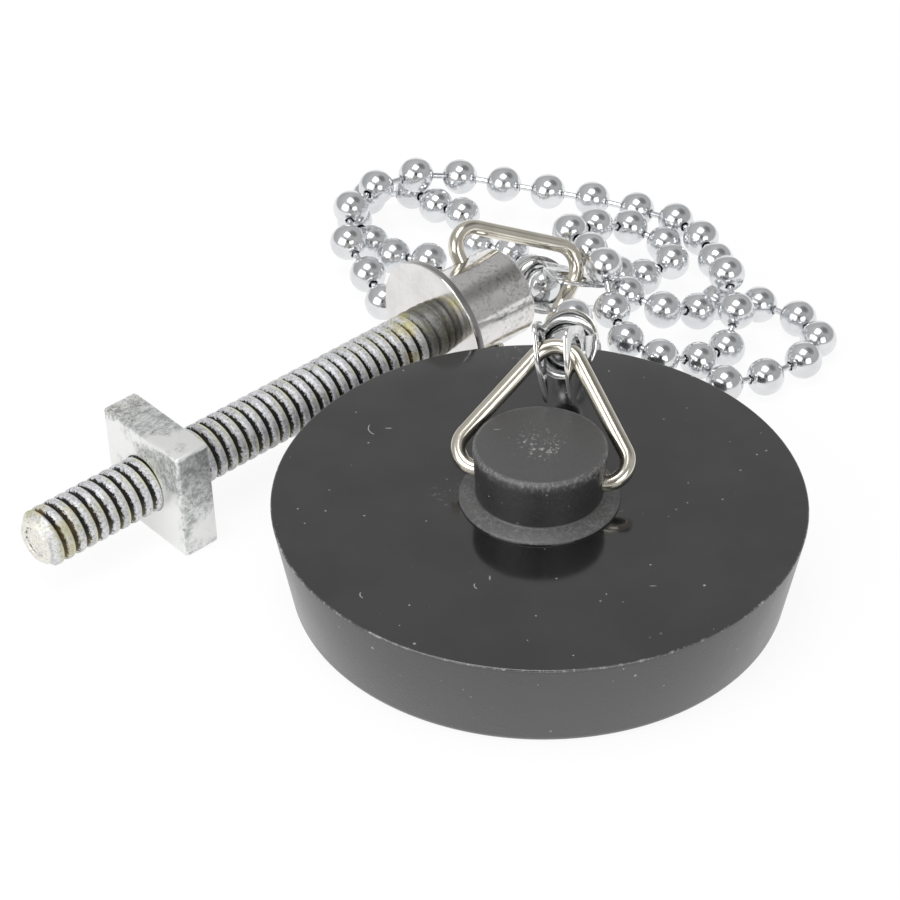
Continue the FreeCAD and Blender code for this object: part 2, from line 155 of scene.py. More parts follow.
def remap(tree, value, low, high, toLow=0.0, toHigh=1.0, smooth=True):
    node = tree.nodes.new("ShaderNodeMapRange")
    node.interpolation_type = "SMOOTHSTEP" if smooth else "LINEAR"
    setInputs(node, {"Value": value, "From Min": low, "From Max": high, "To Min": toLow, "To Max": toHigh})
    return node.outputs["Result"]


# a soft step between two places in mm
def step(tree, value, places, toLow=0.0, toHigh=1.0):
    return remap(tree, value, places[0] * mm, places[1] * mm, toLow, toHigh)


def calc(tree, operation, first, *others):
    for second in others or (None,):
        node = tree.nodes.new("ShaderNodeMath")
        node.operation = operation
        setInputs(node, {0: first})
        if second is not None:
            setInputs(node, {1: second})
        first = node.outputs["Value"]
    return first


def plusShare(tree, first, second, share):
    return calc(tree, "ADD", first, calc(tree, "MULTIPLY", second, share))


def alongWay(tree, vector, way):
    node = tree.nodes.new("ShaderNodeVectorMath")
    node.operation = "DOT_PRODUCT"
    setInputs(node, {0: vector, 1: way})
    return node.outputs["Value"]


def mixColour(tree, amount, first, second):
    node = tree.nodes.new("ShaderNodeMix")
    node.data_type = "RGBA"
    setInputs(node, {0: amount, 6: first, 7: second})
    return node.outputs[2]


def bump(tree, shader, height, strength, distance):
    node = tree.nodes.new("ShaderNodeBump")
    setInputs(node, {"Height": height, "Strength": strength, "Distance": distance})
    setInputs(shader, {"Normal": node.outputs["Normal"]})


def attribute(tree, name):
    node = tree.nodes.new("ShaderNodeAttribute")
    node.attribute_name = name
    return node.outputs["Fac"]


def grey(value):
    return (value, value, value, 1)


# distance in the level plane from a point given in mm
def levelReach(tree, across, along, point):
    aside = calc(tree, "SUBTRACT", across, point[0] * mm)
    ahead = calc(tree, "SUBTRACT", along, point[1] * mm)
    squares = calc(tree, "ADD", calc(tree, "MULTIPLY", aside, aside), calc(tree, "MULTIPLY", ahead, ahead))
    return calc(tree, "SQRT", squares)


# dark moulded plastic: glossy disc, dull wall and boss with its side painted darker as shade, dust, nicks on the
# rims and rubbed places, a lighter boss edge and foot that are partly wear and partly painted highlight
plasticLook = {
    "disc": 0.006,
    "wall": 0.021,
    "boss": 0.045,
    # the boss's side, painted darker than its top as shade
    "bossSideShade": 0.016,
    "haze": 0.08,
    "wornAndHighlight": (0.36, 0.36, 0.35, 1),
    "rough": (0.10, 0.27, 0.32),    # disc, wall, more on the boss
    "index": 1.86,
    "rimRadius": 20.32,
    "discTop": 8.2,
    "bossTop": 13.1,
    "bossFoot": 6.3,
    "rubbed": [(-6.9, 0.2, 2.6), (5.6, -1.9, 1.3), (-2.0, 19.2, 2.4)],    # across, along, reach
    "rubStrength": 0.34,
    "scratches": [(-12.2, 8.9, 1.0), (-12.9, -11.8, 0.5), (-4.6, -10.8, 0.45)],   # centre and radius
    "scratchStrength": 0.9,
}


def makePlastic(look):
    material, tree, shader, coords = startMaterial("mouldedPlastic")
    across, along, height = splitAxes(tree, coords)
    radius = levelReach(tree, across, along, (0, 0))
    cloud = noise(tree, coords, 150, 4)
    grain = noise(tree, coords, 3800, 2)
    top, bossTop, foot, rimRadius = (look[key] for key in ("discTop", "bossTop", "bossFoot", "rimRadius"))
    onBoss = calc(
        tree, "MULTIPLY", step(tree, height, (top + 0.04, top + 0.12)), step(tree, radius, (foot + 0.1, foot)))
    onWall = step(tree, height, (top - 0.15, top - 0.4))

    # dust and short fibres, few and small
    dust = calc(tree, "MAXIMUM", flecks(tree, coords, 620, 0.060), flecks(tree, coords, 380, 0.055))
    fibres = calc(
        tree, "MAXIMUM", flecks(tree, stretched(tree, coords, (1.0, 0.22, 1.0), (0, 0, 0.7)), 520, 0.040),
        flecks(tree, stretched(tree, coords, (0.22, 1.0, 1.0), (0, 0, 0.3)), 500, 0.040))
    marks = calc(tree, "MULTIPLY", calc(tree, "MAXIMUM", dust, fibres), remap(tree, cloud, 0.40, 0.55, 0.25, 0.9))

    # nicks along the upper rim
    overRim = step(tree, height, (top - 0.20, top - 0.10))
    onRim = step(tree, radius, (rimRadius + 0.02, rimRadius + 0.08))
    chips = remap(tree, noise(tree, coords, 1300, 5, 0.75), 0.47, 0.68, 0.10, 0.9)
    rim = calc(tree, "MULTIPLY", overRim, onRim, chips)

    # rubbed patches and arcs on the disc
    fineRub = remap(tree, noise(tree, coords, 2300, 4, 0.75), 0.55, 0.70)
    rubbed = 0.0
    for *point, reach in look["rubbed"]:
        near = step(tree, levelReach(tree, across, along, point), (reach, reach * 0.15))
        rubbed = calc(tree, "MAXIMUM", near, rubbed)
    rubbed = calc(tree, "MULTIPLY", rubbed, fineRub, look["rubStrength"])
    for *point, bend in look["scratches"]:
        ring = calc(tree, "SUBTRACT", levelReach(tree, across, along, point), bend * mm)
        line = step(tree, calc(tree, "ABSOLUTE", ring), (0.06, 0.025))
        half = step(tree, across, (point[0] - bend * 0.5, point[0] - bend * 0.6))
        level = step(tree, along, (point[1] + bend * 0.5, point[1] + bend * 0.3))
        scratch = calc(tree, "MULTIPLY", line, half, level, look["scratchStrength"])
        rubbed = calc(tree, "MAXIMUM", rubbed, scratch)
    rubbed = calc(tree, "MULTIPLY", rubbed, remap(tree, onWall, 0, 1, 1, 0))

    # the boss: white scuffs in the middle of its top, a rubbed edge and a foot that are painted lighter, partly
    # wear and partly painted highlight, streaks below it
    overBoss = step(tree, height, (bossTop - 0.12, bossTop - 0.04))
    middle = step(tree, radius, (4.4, 0.6), -0.13, 0.07)
    scuffs = remap(tree, calc(tree, "ADD", noise(tree, coords, 2300, 5, 0.8), middle), 0.60, 0.68)
    scuffs = calc(tree, "MULTIPLY", overBoss, scuffs)
    # a lighter band just below the boss's top edge: rubbed wear and a painted highlight
    edgeBand = calc(
        tree, "MULTIPLY", step(tree, height, (bossTop - 1.1, bossTop - 0.25)), step(tree, radius, (4.72, 5.0)))
    streaks = remap(tree, noise(tree, stretched(tree, coords, (1, 1, 0.5)), 3400, 4, 0.8), 0.46, 0.68)
    edgeWearAndHighlight = calc(tree, "MULTIPLY", edgeBand, calc(tree, "ADD", calc(tree, "MULTIPLY", streaks, 0.55), 0.06))
    # the foot painted lighter all over: speckled wear and a painted highlight
    onFoot = calc(tree, "MULTIPLY", onBoss, step(tree, height, (top + 0.75, top + 0.5)))
    footWearAndHighlight = calc(tree, "MULTIPLY", onFoot, calc(tree, "ADD", calc(tree, "MULTIPLY", streaks, 0.30), 0.04))
    onShadedSide = calc(
        tree, "MULTIPLY", onBoss, step(tree, height, (top + 0.5, top + 0.75)),
        step(tree, height, (bossTop - 0.25, bossTop - 0.7)))

    wearAndHighlight = calc(tree, "MAXIMUM", marks, rim, rubbed, scuffs, edgeWearAndHighlight, footWearAndHighlight)
    tone = mixColour(tree, onWall, grey(look["disc"]), grey(look["wall"]))
    tone = mixColour(tree, onBoss, tone, grey(look["boss"]))
    # the boss's side painted darker than its top: painted shade
    tone = mixColour(tree, onShadedSide, tone, grey(look["bossSideShade"]))
    tone = mixColour(tree, remap(tree, cloud, 0.35, 0.65, 0.0, 0.10), tone, grey(look["haze"]))
    # wear marks, and the painted highlight on the boss's edge and foot, in one pale colour
    colour = mixColour(tree, wearAndHighlight, tone, look["wornAndHighlight"])
    matte = calc(tree, "MAXIMUM", onBoss, onWall)
    discRough, wallRough, bossMore = look["rough"]
    roughness = calc(
        tree, "ADD", remap(tree, onWall, 0, 1, discRough, wallRough), remap(tree, onBoss, 0, 1, 0, bossMore),
        remap(tree, cloud, 0.3, 0.7, -0.02, 0.05), calc(tree, "MULTIPLY", wearAndHighlight, 0.3))
    setInputs(shader, {"Base Color": colour, "Roughness": roughness, "IOR": look["index"]})
    relief = calc(
        tree, "ADD", calc(tree, "MULTIPLY", grain, remap(tree, matte, 0, 1, 0.06, 1)),
        calc(tree, "MULTIPLY", wearAndHighlight, 0.5), calc(tree, "MULTIPLY", streaks, remap(tree, onBoss, 0, 1, 0, 0.8)))
    bump(tree, shader, relief, 0.30, 0.00006)
    return material


# bright plating with uneven gloss; the tint, the gloss and the size of the dents change
def makePlate(name, tint, dullTint, gloss, dents):
    material, tree, shader, coords = startMaterial(name)
    cloud = noise(tree, coords, 420, 4)
    fine = noise(tree, coords, 2600, 3)
    tone = mixColour(tree, remap(tree, cloud, 0.35, 0.7), (*tint, 1), (*dullTint, 1))
    roughness = remap(tree, plusShare(tree, cloud, fine, 0.6), 0.55, 1.0, gloss[0], gloss[1])
    setInputs(shader, {"Base Color": tone, "Metallic": 1.0, "Roughness": roughness})
    bump(tree, shader, plusShare(tree, noise(tree, coords, 900, 2), fine, 0.25), dents, 0.00005)
    return material


# plating on the stay head: pits towards the barrel's end, a duller flange side painted darker as shade, a clean
# face
headLook = {
    "tint": (0.79, 0.775, 0.76, 1),
    "dull": (0.71, 0.695, 0.68, 1),
    "pit": (0.26, 0.255, 0.25, 1),
    # the flange's side tone: painted shade
    "side": (0.30, 0.295, 0.285, 1),
    "flange": 5.85,
    "gloss": (0.09, 0.17),
}


def makeHeadPlate(look, place):
    material, tree, shader, coords = startMaterial("headNickel")
    across, aside, along = splitAxes(tree, ownCoords(tree, coords, place))
    radius = levelReach(tree, across, aside, (0, 0))
    cloud = noise(tree, coords, 420, 4)
    fine = noise(tree, coords, 2600, 3)
    tone = mixColour(tree, remap(tree, cloud, 0.35, 0.7), look["tint"], look["dull"])
    spots = remap(tree, noise(tree, coords, 3000, 4, 0.7), 0.46, 0.68, 0, 0.7)
    patches = remap(tree, noise(tree, coords, 380, 3), 0.36, 0.56, 0.15, 1)
    farEnd = step(tree, along, (0.3, 5.5), 0.15, 1)
    tone = mixColour(tree, calc(tree, "MULTIPLY", spots, patches, farEnd), tone, look["pit"])
    # the flange's side painted dark grey as shade, and made rougher
    onShadedSide = calc(
        tree, "MULTIPLY", step(tree, radius, (look["flange"], look["flange"] + 0.1)),
        step(tree, along, (0.09, 0.15)), step(tree, along, (0.68, 0.6)))
    tone = mixColour(tree, calc(tree, "MULTIPLY", onShadedSide, 0.85), tone, look["side"])
    roughness = remap(tree, plusShare(tree, cloud, fine, 0.6), 0.55, 1.0, *look["gloss"])
    roughness = plusShare(tree, roughness, onShadedSide, 0.2)
    setInputs(shader, {"Base Color": tone, "Metallic": 1.0, "Roughness": roughness})
    bump(tree, shader, plusShare(tree, cloud, fine, 0.25), 0.08, 0.00005)
    return material


# zinc on the thread: pale mottled crests, near-black grooves that are dirt and painted shade, a pale yellow line
# painted on the head side of each crest as a highlight
threadLook = {
    "crest": (0.80, 0.80, 0.84, 1),
    "dull": (0.36, 0.37, 0.38, 1),
    # groove colour: dirt and painted shade
    "dirtAndShade": (0.012, 0.012, 0.012, 1),
    # lighter olive for groove walls that face down: painted light
    "olive": (0.20, 0.18, 0.10, 1),
    # pale yellow of the line painted along each crest as a highlight
    "line": (0.86, 0.85, 0.60, 1),
    "end": (0.86, 0.84, 0.75, 1),
    "yellow": (0.58, 0.53, 0.20, 1),
    "rust": (0.20, 0.13, 0.05, 1),
    "neck": (0.12, 0.12, 0.115, 1),
    "tipStainAt": (-34.0, -40.0),   # mm from the flange's face
    "headStainAt": (-5.8, -3.2),
    "neckAt": (-2.5, -1.8),
    "endAt": (-40.15, -40.3),
    "upperAt": (0.7, 2.1),          # mm above the middle line, where the grooves get less painted shade, as lit from above
}


def makeThreadZinc(look, place):
    material, tree, shader, coords = startMaterial("threadZinc")
    own = ownCoords(tree, coords, place)
    along = splitAxes(tree, own)[2]
    upper = alongWay(tree, own, place.to_3x3().inverted() @ skyward)
    cloud = noise(tree, coords, 520, 4, 0.6)
    fine = noise(tree, coords, 4600, 4, 0.7)
    rag = noise(tree, coords, 3600, 4, 0.7)
    groove = attribute(tree, "groove")
    tipStain = step(tree, along, look["tipStainAt"], 0.04, 0.6)
    headStain = step(tree, along, look["headStainAt"], 0.0, 0.85)
    stain = calc(tree, "MAXIMUM", tipStain, headStain)
    neck = step(tree, along, look["neckAt"])
    # less painted shade in the grooves on the upper side, as lit from above
    lessShadeAbove = step(tree, upper, look["upperAt"], 0, -0.34)
    depth = calc(tree, "ADD", groove, remap(tree, rag, 0.3, 0.7, -0.30, 0.30), lessShadeAbove)
    # grooves painted near black: dirt and painted shade
    dirtAndShade = remap(tree, depth, 0.27, 0.36)
    mottle = calc(tree, "ADD", remap(tree, fine, 0.42, 0.64, 0, 0.75), remap(tree, cloud, 0.45, 0.65, 0, 0.3))
    tone = mixColour(tree, mottle, look["crest"], look["dull"])
    # a pale yellow line painted along the head side of each crest as a highlight, broken by the cloud
    line = calc(tree, "MULTIPLY", attribute(tree, "line"), remap(tree, cloud, 0.42, 0.58, 0.08, 0.85))
    tone = mixColour(tree, line, tone, look["line"])
    stained = calc(tree, "MULTIPLY", stain, remap(tree, cloud, 0.42, 0.62, 0.1, 0.8))
    tone = mixColour(tree, stained, tone, look["yellow"])
    # groove walls that face down painted lighter olive instead of black: painted light from below
    facing = tree.nodes.new("ShaderNodeTexCoord").outputs["Normal"]
    under = remap(tree, splitAxes(tree, facing)[2], 0.1, -0.55)
    dirtAndShadeTone = mixColour(tree, calc(tree, "MULTIPLY", under, 0.8), look["dirtAndShade"], look["olive"])
    rusty = calc(tree, "MULTIPLY", stain, remap(tree, cloud, 0.45, 0.6))
    dirtAndShadeTone = mixColour(tree, rusty, dirtAndShadeTone, look["rust"])
    tone = mixColour(tree, dirtAndShade, tone, dirtAndShadeTone)
    grime = calc(tree, "MULTIPLY", neck, remap(tree, fine, 0.40, 0.70, 0.95, 0.65))
    tone = mixColour(tree, grime, tone, look["neck"])
    # the pale end face, held back on the dish wall so that painted shade shows there
    endFace = calc(
        tree, "MULTIPLY", step(tree, along, look["endAt"]), remap(tree, fine, 0.5, 0.62, 0.85, 0.2),
        remap(tree, groove, 0.1, 0.26, 1, 0.15))
    tone = mixColour(tree, endFace, tone, look["end"])
    roughness = plusShare(tree, remap(tree, cloud, 0.3, 0.7, 0.40, 0.54), dirtAndShade, 0.3)
    setInputs(shader, {"Base Color": tone, "Metallic": remap(tree, dirtAndShade, 0, 1, 0.45, 0), "Roughness": roughness})
    bump(tree, shader, plusShare(tree, cloud, fine, 0.7), 0.35, 0.00008)
    return material


# zinc on the nut: pale smooth places, grey mottling towards one upper corner and along the edges
nutLook = {
    "pale": (0.87, 0.875, 0.865, 1),
    "grey": (0.36, 0.385, 0.38, 1),
    "dark": (0.13, 0.13, 0.12, 1),
    "brown": (0.30, 0.24, 0.16, 1),
    "flat": 4.8,
    "tipFace": -29.9,
}


def makeNutZinc(look, place):
    material, tree, shader, coords = startMaterial("nutZinc")
    own = ownCoords(tree, coords, place)
    across, down, along = splitAxes(tree, own)
    cloud = noise(tree, coords, 380, 4, 0.6)
    fine = noise(tree, coords, 4600, 4, 0.7)
    streaks = noise(tree, stretched(tree, own, (1, 0.5, 0.5), (0.5, 0.4, 0.3)), 2900, 5, 0.75)
    height = remap(tree, down, -look["flat"] * mm, look["flat"] * mm, 0.16, -0.18, False)
    nearSide = remap(tree, across, -look["flat"] * mm, look["flat"] * mm, -0.13, 0.13, False)
    onTip = step(tree, along, (look["tipFace"] + 0.12, look["tipFace"] + 0.02), 0.0, -0.10)
    onTop = step(tree, down, (-4.55, -4.7))
    smooth = calc(tree, "MULTIPLY", onTop, step(tree, across, (0.2, 2.6), 0, -0.30))
    patch = calc(tree, "ADD", cloud, height, nearSide, onTip, smooth)
    mottled = calc(tree, "MULTIPLY", remap(tree, patch, 0.42, 0.62), remap(tree, streaks, 0.38, 0.62, 0.10, 0.9))
    tone = mixColour(tree, mottled, look["pale"], look["grey"])
    specks = calc(tree, "MULTIPLY", remap(tree, patch, 0.40, 0.56), remap(tree, fine, 0.54, 0.68, 0, 0.7))
    tone = mixColour(tree, specks, tone, look["dark"])
    corner = calc(
        tree, "MULTIPLY", step(tree, across, (-1.5, -4.0)), step(tree, down, (-4.0, -4.7)),
        remap(tree, fine, 0.48, 0.62, 0, 0.8))
    tone = mixColour(tree, corner, tone, look["brown"])
    setInputs(shader, {"Base Color": tone, "Metallic": 0.6, "Roughness": remap(tree, cloud, 0.3, 0.7, 0.30, 0.48)})
    relief = plusShare(tree, plusShare(tree, cloud, fine, 0.6), mottled, 0.3)
    bump(tree, shader, relief, 0.30, 0.0001)
    return material


def makeHollow():
    material, tree, shader, coords = startMaterial("holeShade")
    tone = mixColour(tree, noise(tree, coords, 1500), grey(0.02), grey(0.07))
    setInputs(shader, {"Base Color": tone, "Metallic": 0.6, "Roughness": 0.5})
    return material


plastic = makePlastic(plasticLook)
chrome = makePlate("chainChrome", (0.80, 0.81, 0.82), (0.71, 0.72, 0.74), (0.12, 0.22), 0.16)
nickel = makePlate("ringNickel", (0.76, 0.72, 0.63), (0.66, 0.62, 0.53), (0.10, 0.20), 0.08)
clipPlate = makePlate("clipNickel", (0.78, 0.78, 0.77), (0.60, 0.60, 0.60), (0.06, 0.18), 0.25)
headPlate = makeHeadPlate(headLook, stayPlace)
threadZinc = makeThreadZinc(threadLook, stayPlace)
nutZinc = makeNutZinc(nutLook, nutPlace)
hollow = makeHollow()
print("materials made")


# mesh helpers

def addPiece(name, mesh, body, nodes, materials, sharp=35):
    mesh.name = name
    for material in materials:
        mesh.materials.append(material)
    mesh.shade_smooth()
    mesh.set_sharp_from_angle(angle=math.radians(sharp))
    piece = bpy.data.objects.new(name, mesh)
    scene.collection.objects.link(piece)
    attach(piece, body)
    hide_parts(*nodes)


def toMesh(bm, place=None, closed=True):
    if closed:
        bmesh.ops.remove_doubles(bm, verts=bm.verts, dist=1e-6)
        bmesh.ops.recalc_face_normals(bm, faces=bm.faces)
    mesh = bpy.data.meshes.new("piece")
    bm.to_mesh(mesh)
    bm.free()
    if place:
        mesh.transform(place)
    return mesh


def clamped(value):
    return min(1, max(0, value))


def only(kind, items):
    return [item for item in items if isinstance(item, kind)]


def rounded(bm, geom, size, segments, affect="EDGES"):
    bmesh.ops.bevel(bm, geom=geom, offset=size * mm, affect=affect, segments=segments, profile=0.5, material=-1)


# an edge loop all through the mesh at a plane; what lies beyond it can be dropped
def cutAt(bm, point, way, drop=False):
    everything = bm.verts[:] + bm.edges[:] + bm.faces[:]
    bmesh.ops.bisect_plane(bm, geom=everything, plane_co=point, plane_no=way, clear_outer=drop)


# a turned shape from (radius, height) corners in mm, with the named corners rounded
def turned(corners, steps=128, rounds=()):
    bm = bmesh.new()
    verts = [bm.verts.new((radius * mm, 0, height * mm)) for radius, height in corners]
    edges = [bm.edges.new(pair) for pair in zip(verts[:-1], verts[1:])]
    bmesh.ops.spin(
        bm, geom=verts + edges, cent=(0, 0, 0), axis=(0, 0, 1), angle=math.tau, steps=steps, use_merge=True)
    bmesh.ops.remove_doubles(bm, verts=bm.verts, dist=1e-6)
    for index, size, segments in rounds:
        radius, height = corners[index]

        def onCorner(vert):
            near = abs(math.hypot(vert.co.x, vert.co.y) - radius * mm) < 1e-6
            return near and abs(vert.co.z - height * mm) < 1e-6

        loop = [edge for edge in bm.edges if onCorner(edge.verts[0]) and onCorner(edge.verts[1])]
        rounded(bm, loop, size, segments)
    bmesh.ops.recalc_face_normals(bm, faces=bm.faces)
    return bm


def rod(radius, start, end, steps=48):
    return turned([(0, start), (radius, start), (radius, end), (0, end)], steps)


def drilled(mesh, drill):
    block = bpy.data.objects.new("block", mesh)
    tool = bpy.data.objects.new("drill", drill)
    for item in (block, tool):
        scene.collection.objects.link(item)
    modifier = block.modifiers.new("hole", "BOOLEAN")
    modifier.object = tool
    modifier.solver = "EXACT"
    result = bpy.data.meshes.new_from_object(block.evaluated_get(bpy.context.evaluated_depsgraph_get()))
    bpy.data.objects.remove(block)
    bpy.data.objects.remove(tool)
    return result


# a turned piece with a round hole across it
def turnedDrilled(form, place):
    hole = rod(form["holeRadius"], -form["holeHalf"], form["holeHalf"])
    bmesh.ops.rotate(hole, verts=hole.verts, cent=(0, 0, 0), matrix=Matrix.Rotation(math.pi / 2, 3, "Y"))
    bmesh.ops.translate(hole, verts=hole.verts, vec=(0, 0, form["holeHeight"] * mm))
    mesh = drilled(toMesh(turned(form["outline"], form["steps"], form["rounds"])), toMesh(hole))
    mesh.transform(place)
    return mesh


# plug
plugForm = {
    "outline": [(0, 0), (19.0, 0), (20.5, 8.2), (6.2, 8.2), (6.15, 8.45), (4.84, 8.8), (5.15, 13.1), (0, 13.1)],
    "rounds": [(1, 0.8, 5), (2, 0.16, 4), (4, 0.15, 3), (5, 0.2, 4), (6, 0.4, 5)],
    "steps": 160,
    "holeHeight": 10.1,
    "holeRadius": 0.74,
    "holeHalf": 8,
}
addPiece("plugMoulding", turnedDrilled(plugForm, plugPlace), "plug", ["plug"], [plastic])
print("plug made")


# rings
ringForm = {
    "halfBase": 8.0,
    "reach": 11.9,
    "cornerRound": 1.7,
    "apexRound": 2.0,
    "wireRadius": 0.65,
}


def ringMesh(form, place):
    corners = [
        (Vector((form["halfBase"], 0, 0)), form["cornerRound"]),
        (Vector((0, form["reach"], 0)), form["apexRound"]),
        (Vector((-form["halfBase"], 0, 0)), form["cornerRound"])]
    curve = bpy.data.curves.new("ringPath", "CURVE")
    curve.dimensions = "3D"
    curve.bevel_depth = form["wireRadius"] * mm
    curve.bevel_resolution = 8
    curve.resolution_u = 16
    spline = curve.splines.new("BEZIER")
    spline.bezier_points.add(2 * len(corners) - 1)
    spline.use_cyclic_u = True
    for index, (corner, bend) in enumerate(corners):
        back = (corners[index - 1][0] - corner).normalized()
        ahead = (corners[(index + 1) % 3][0] - corner).normalized()
        half = back.angle(ahead) / 2
        run = bend / math.tan(half)
        pull = 4 / 3 * math.tan((math.pi - 2 * half) / 4) * bend
        for leaving, way in enumerate((back, ahead)):
            point = spline.bezier_points[2 * index + leaving]
            spot = corner + way * run
            outer, inner = (spot + way * pull) * mm, (spot - way * pull) * mm
            point.co = spot * mm
            point.handle_left, point.handle_right = (inner, outer) if leaving else (outer, inner)
    path = bpy.data.objects.new("ringPath", curve)
    scene.collection.objects.link(path)
    mesh = bpy.data.meshes.new_from_object(path.evaluated_get(bpy.context.evaluated_depsgraph_get()))
    bpy.data.objects.remove(path)
    mesh.transform(place)
    return mesh


rings = [("plugRingWire", "plug_ring", plugRingPlace), ("stayRingWire", "stay_ring", stayRingPlace)]
for name, node, place in rings:
    addPiece(name, ringMesh(ringForm, place), node, [node], [nickel])
print("rings made")


# clips: a folded sheet, two cheeks on the ring and a cup round the end ball
clipForm = {
    "sheet": 0.3,
    "halfGap": 1.0,
    "cheek": [  # along, up, round
        (-2.1, 2.1, 0.9), (-2.1, -1.2, 1.0), (-0.35, -4.0, 0.25), (0.35, -4.0, 0.25), (2.1, -1.2, 0.7),
        (5.1, -1.2, 0), (5.1, 1.2, 0), (2.5, 1.2, 0.6), (2.0, 2.1, 0.7)],
    "edge": 0.07,
    "eye": 1.33,
    "splay": (2.4, 4.4, 0.8),   # starts, ends, sideways
    "bends": 6,
    "pinch": (-1.2, -4.0, 0.2),
    "lean": (0.19, 0.11),       # sideways for each mm up, each cheek; the sheet stands a little askew
    "shift": (0.3, 0.3),
    "fan": 0.85,                # the right cheek opens backwards
    "flare": 0.45,              # the cup's lip opens, lifts and tilts
    "flareDepth": 0.7,
    "lift": 0.25,
    "slope": 0.15,
    "cup": 1.8,
    "lip": 0.3,
    "mouth": 0.9,
}


def cheekMesh(form):
    bm = bmesh.new()
    corners = [bm.verts.new((along * mm, form["halfGap"] * mm, up * mm)) for along, up, bend in form["cheek"]]
    bm.faces.new(corners)
    for corner, (along, up, bend) in zip(corners, form["cheek"]):
        if bend:
            rounded(bm, [corner], bend, 6, "VERTICES")
    grown = bmesh.ops.extrude_face_region(bm, geom=bm.faces[:])["geom"]
    bmesh.ops.translate(bm, verts=only(bmesh.types.BMVert, grown), vec=(0, form["sheet"] * mm, 0))
    bmesh.ops.recalc_face_normals(bm, faces=bm.faces)
    rims = [edge for edge in bm.edges if abs(edge.verts[0].co.y - edge.verts[1].co.y) < 1e-7]
    rounded(bm, rims, form["edge"], 2)
    drill = rod(form["eye"], -4, 4)
    bmesh.ops.rotate(drill, verts=drill.verts, cent=(0, 0, 0), matrix=Matrix.Rotation(math.pi / 2, 3, "X"))
    return drilled(toMesh(bm), toMesh(drill))


def clipMesh(form, reach, place):
    bm = bmesh.new()
    bm.from_mesh(cheekMesh(form))
    start, end, aside = form["splay"]
    high, low, inward = form["pinch"]
    for index in range(form["bends"] + 1):
        cut = start + (end - start) * index / form["bends"]
        cutAt(bm, (cut * mm, 0, 0), (1, 0, 0))
    cutAt(bm, (0, 0, high * mm), (0, 0, 1))
    bmesh.ops.triangulate(bm, faces=bm.faces[:])
    for vert in bm.verts:
        share = clamped((vert.co.x / mm - start) / (end - start))
        tip = max(0, (high - vert.co.z / mm) / (high - low))
        vert.co.y += (aside * share * share * (3 - 2 * share) - inward * tip) * mm
    bmesh.ops.mirror(bm, geom=bm.verts[:] + bm.edges[:] + bm.faces[:], axis="Y", merge_dist=1e-7)
    bmesh.ops.recalc_face_normals(bm, faces=bm.faces)
    front = form["cheek"][0][0]
    for vert in bm.verts:
        share = clamped((vert.co.x / mm - start) / (end - start))
        side = 0 if vert.co.y > 0 else 1
        vert.co.y += (form["lean"][side] * vert.co.z + form["shift"][side] * mm) * (1 - share)
        if side:
            opened = min(1, (vert.co.x / mm - front) / (start - front))
            vert.co.y -= form["fan"] * opened * (1 - share) * mm
    cup = bmesh.new()
    bmesh.ops.create_uvsphere(cup, u_segments=64, v_segments=32, radius=form["cup"] * mm)
    bmesh.ops.rotate(cup, verts=cup.verts, cent=(0, 0, 0), matrix=Matrix.Rotation(math.pi / 2, 3, "Y"))
    back = math.sqrt(form["cup"] ** 2 - form["mouth"] ** 2)
    for level, way in ((-form["lip"], -1), (back, 1)):
        cutAt(cup, (level * mm, 0, 0), (way, 0, 0), True)
    for vert in cup.verts:
        nearLip = max(0, 1 - (vert.co.x / mm + form["lip"]) / form["flareDepth"])
        grow = 1 + form["flare"] / form["cup"] * nearLip * nearLip
        vert.co.y *= grow
        vert.co.z *= grow
        lift = form["lift"] * (mm + vert.co.z / form["cup"])
        vert.co.z += nearLip * (lift - form["slope"] * vert.co.y)
    bmesh.ops.solidify(cup, geom=cup.faces[:], thickness=-form["sheet"] * mm)
    bmesh.ops.recalc_face_normals(cup, faces=cup.faces)
    rims = [edge for edge in cup.edges if edge.calc_face_angle(0) > 0.7]
    rounded(cup, rims, form["edge"], 3)
    bmesh.ops.translate(cup, verts=cup.verts, vec=(reach * mm, 0, 0))
    bm.from_mesh(toMesh(cup))
    return toMesh(bm, place, False)


clips = [("plugClipSheet", "plug_clip", plugClipPlace), ("stayClipSheet", "stay_clip", stayClipPlace)]
for name, node, place in clips:
    addPiece(name, clipMesh(clipForm, layout["clipReach"], place), node, [node], [clipPlate])
print("clips made")


# stay head
headForm = {
    "outline": [(0, 0), (6.0, 0), (6.0, 0.7), (3.9, 0.7), (3.9, 8.3), (0, 8.3)],
    "rounds": [(1, 0.1, 3), (2, 0.12, 3), (3, 0.15, 3), (4, 0.35, 4)],
    "steps": 128,
    "holeHeight": layout["headHole"],
    "holeRadius": 0.74,
    "holeHalf": 6,
}
addPiece("stayHeadBarrel", turnedDrilled(headForm, stayPlace), "stay", ["stay_head"], [headPlate])
print("stay head made")


# threaded stud: one pitch of the profile, spun along a helix
studForm = {
    "profile": [(1.86, 0.0), (1.89, 0.08), (2.31, 0.23), (2.38, 0.29), (2.40, 0.38), (2.40, 0.56),
                (2.40, 0.66), (2.38, 0.77), (2.31, 0.83), (1.89, 0.978), (1.86, 1.058)],
    "pitch": 1.058,
    "start": 0.6,
    "length": 40.5,
    "chamfer": 0.7,
    "radius": 2.4,
    "fade": 1.8,    # the thread runs out towards the flange over this length
    "fadeEnd": -0.3,
    "fill": 0.6,    # share of the groove that is filled there
    "dish": [(0.78, 0.0), (0.92, 0.16), (0.7, 0.06)],   # hollow in the end face, shrink and depth
    "dishWall": (1.1, 1.5, 0.28),   # from, to, how much it counts as groove, so that its wall takes the grooves' dirt and painted shade
    "line": (0.76, 0.09, 0.08),     # height in the pitch, half its width, soft edge of the line painted as a highlight
    "stepsPerTurn": 40,
}


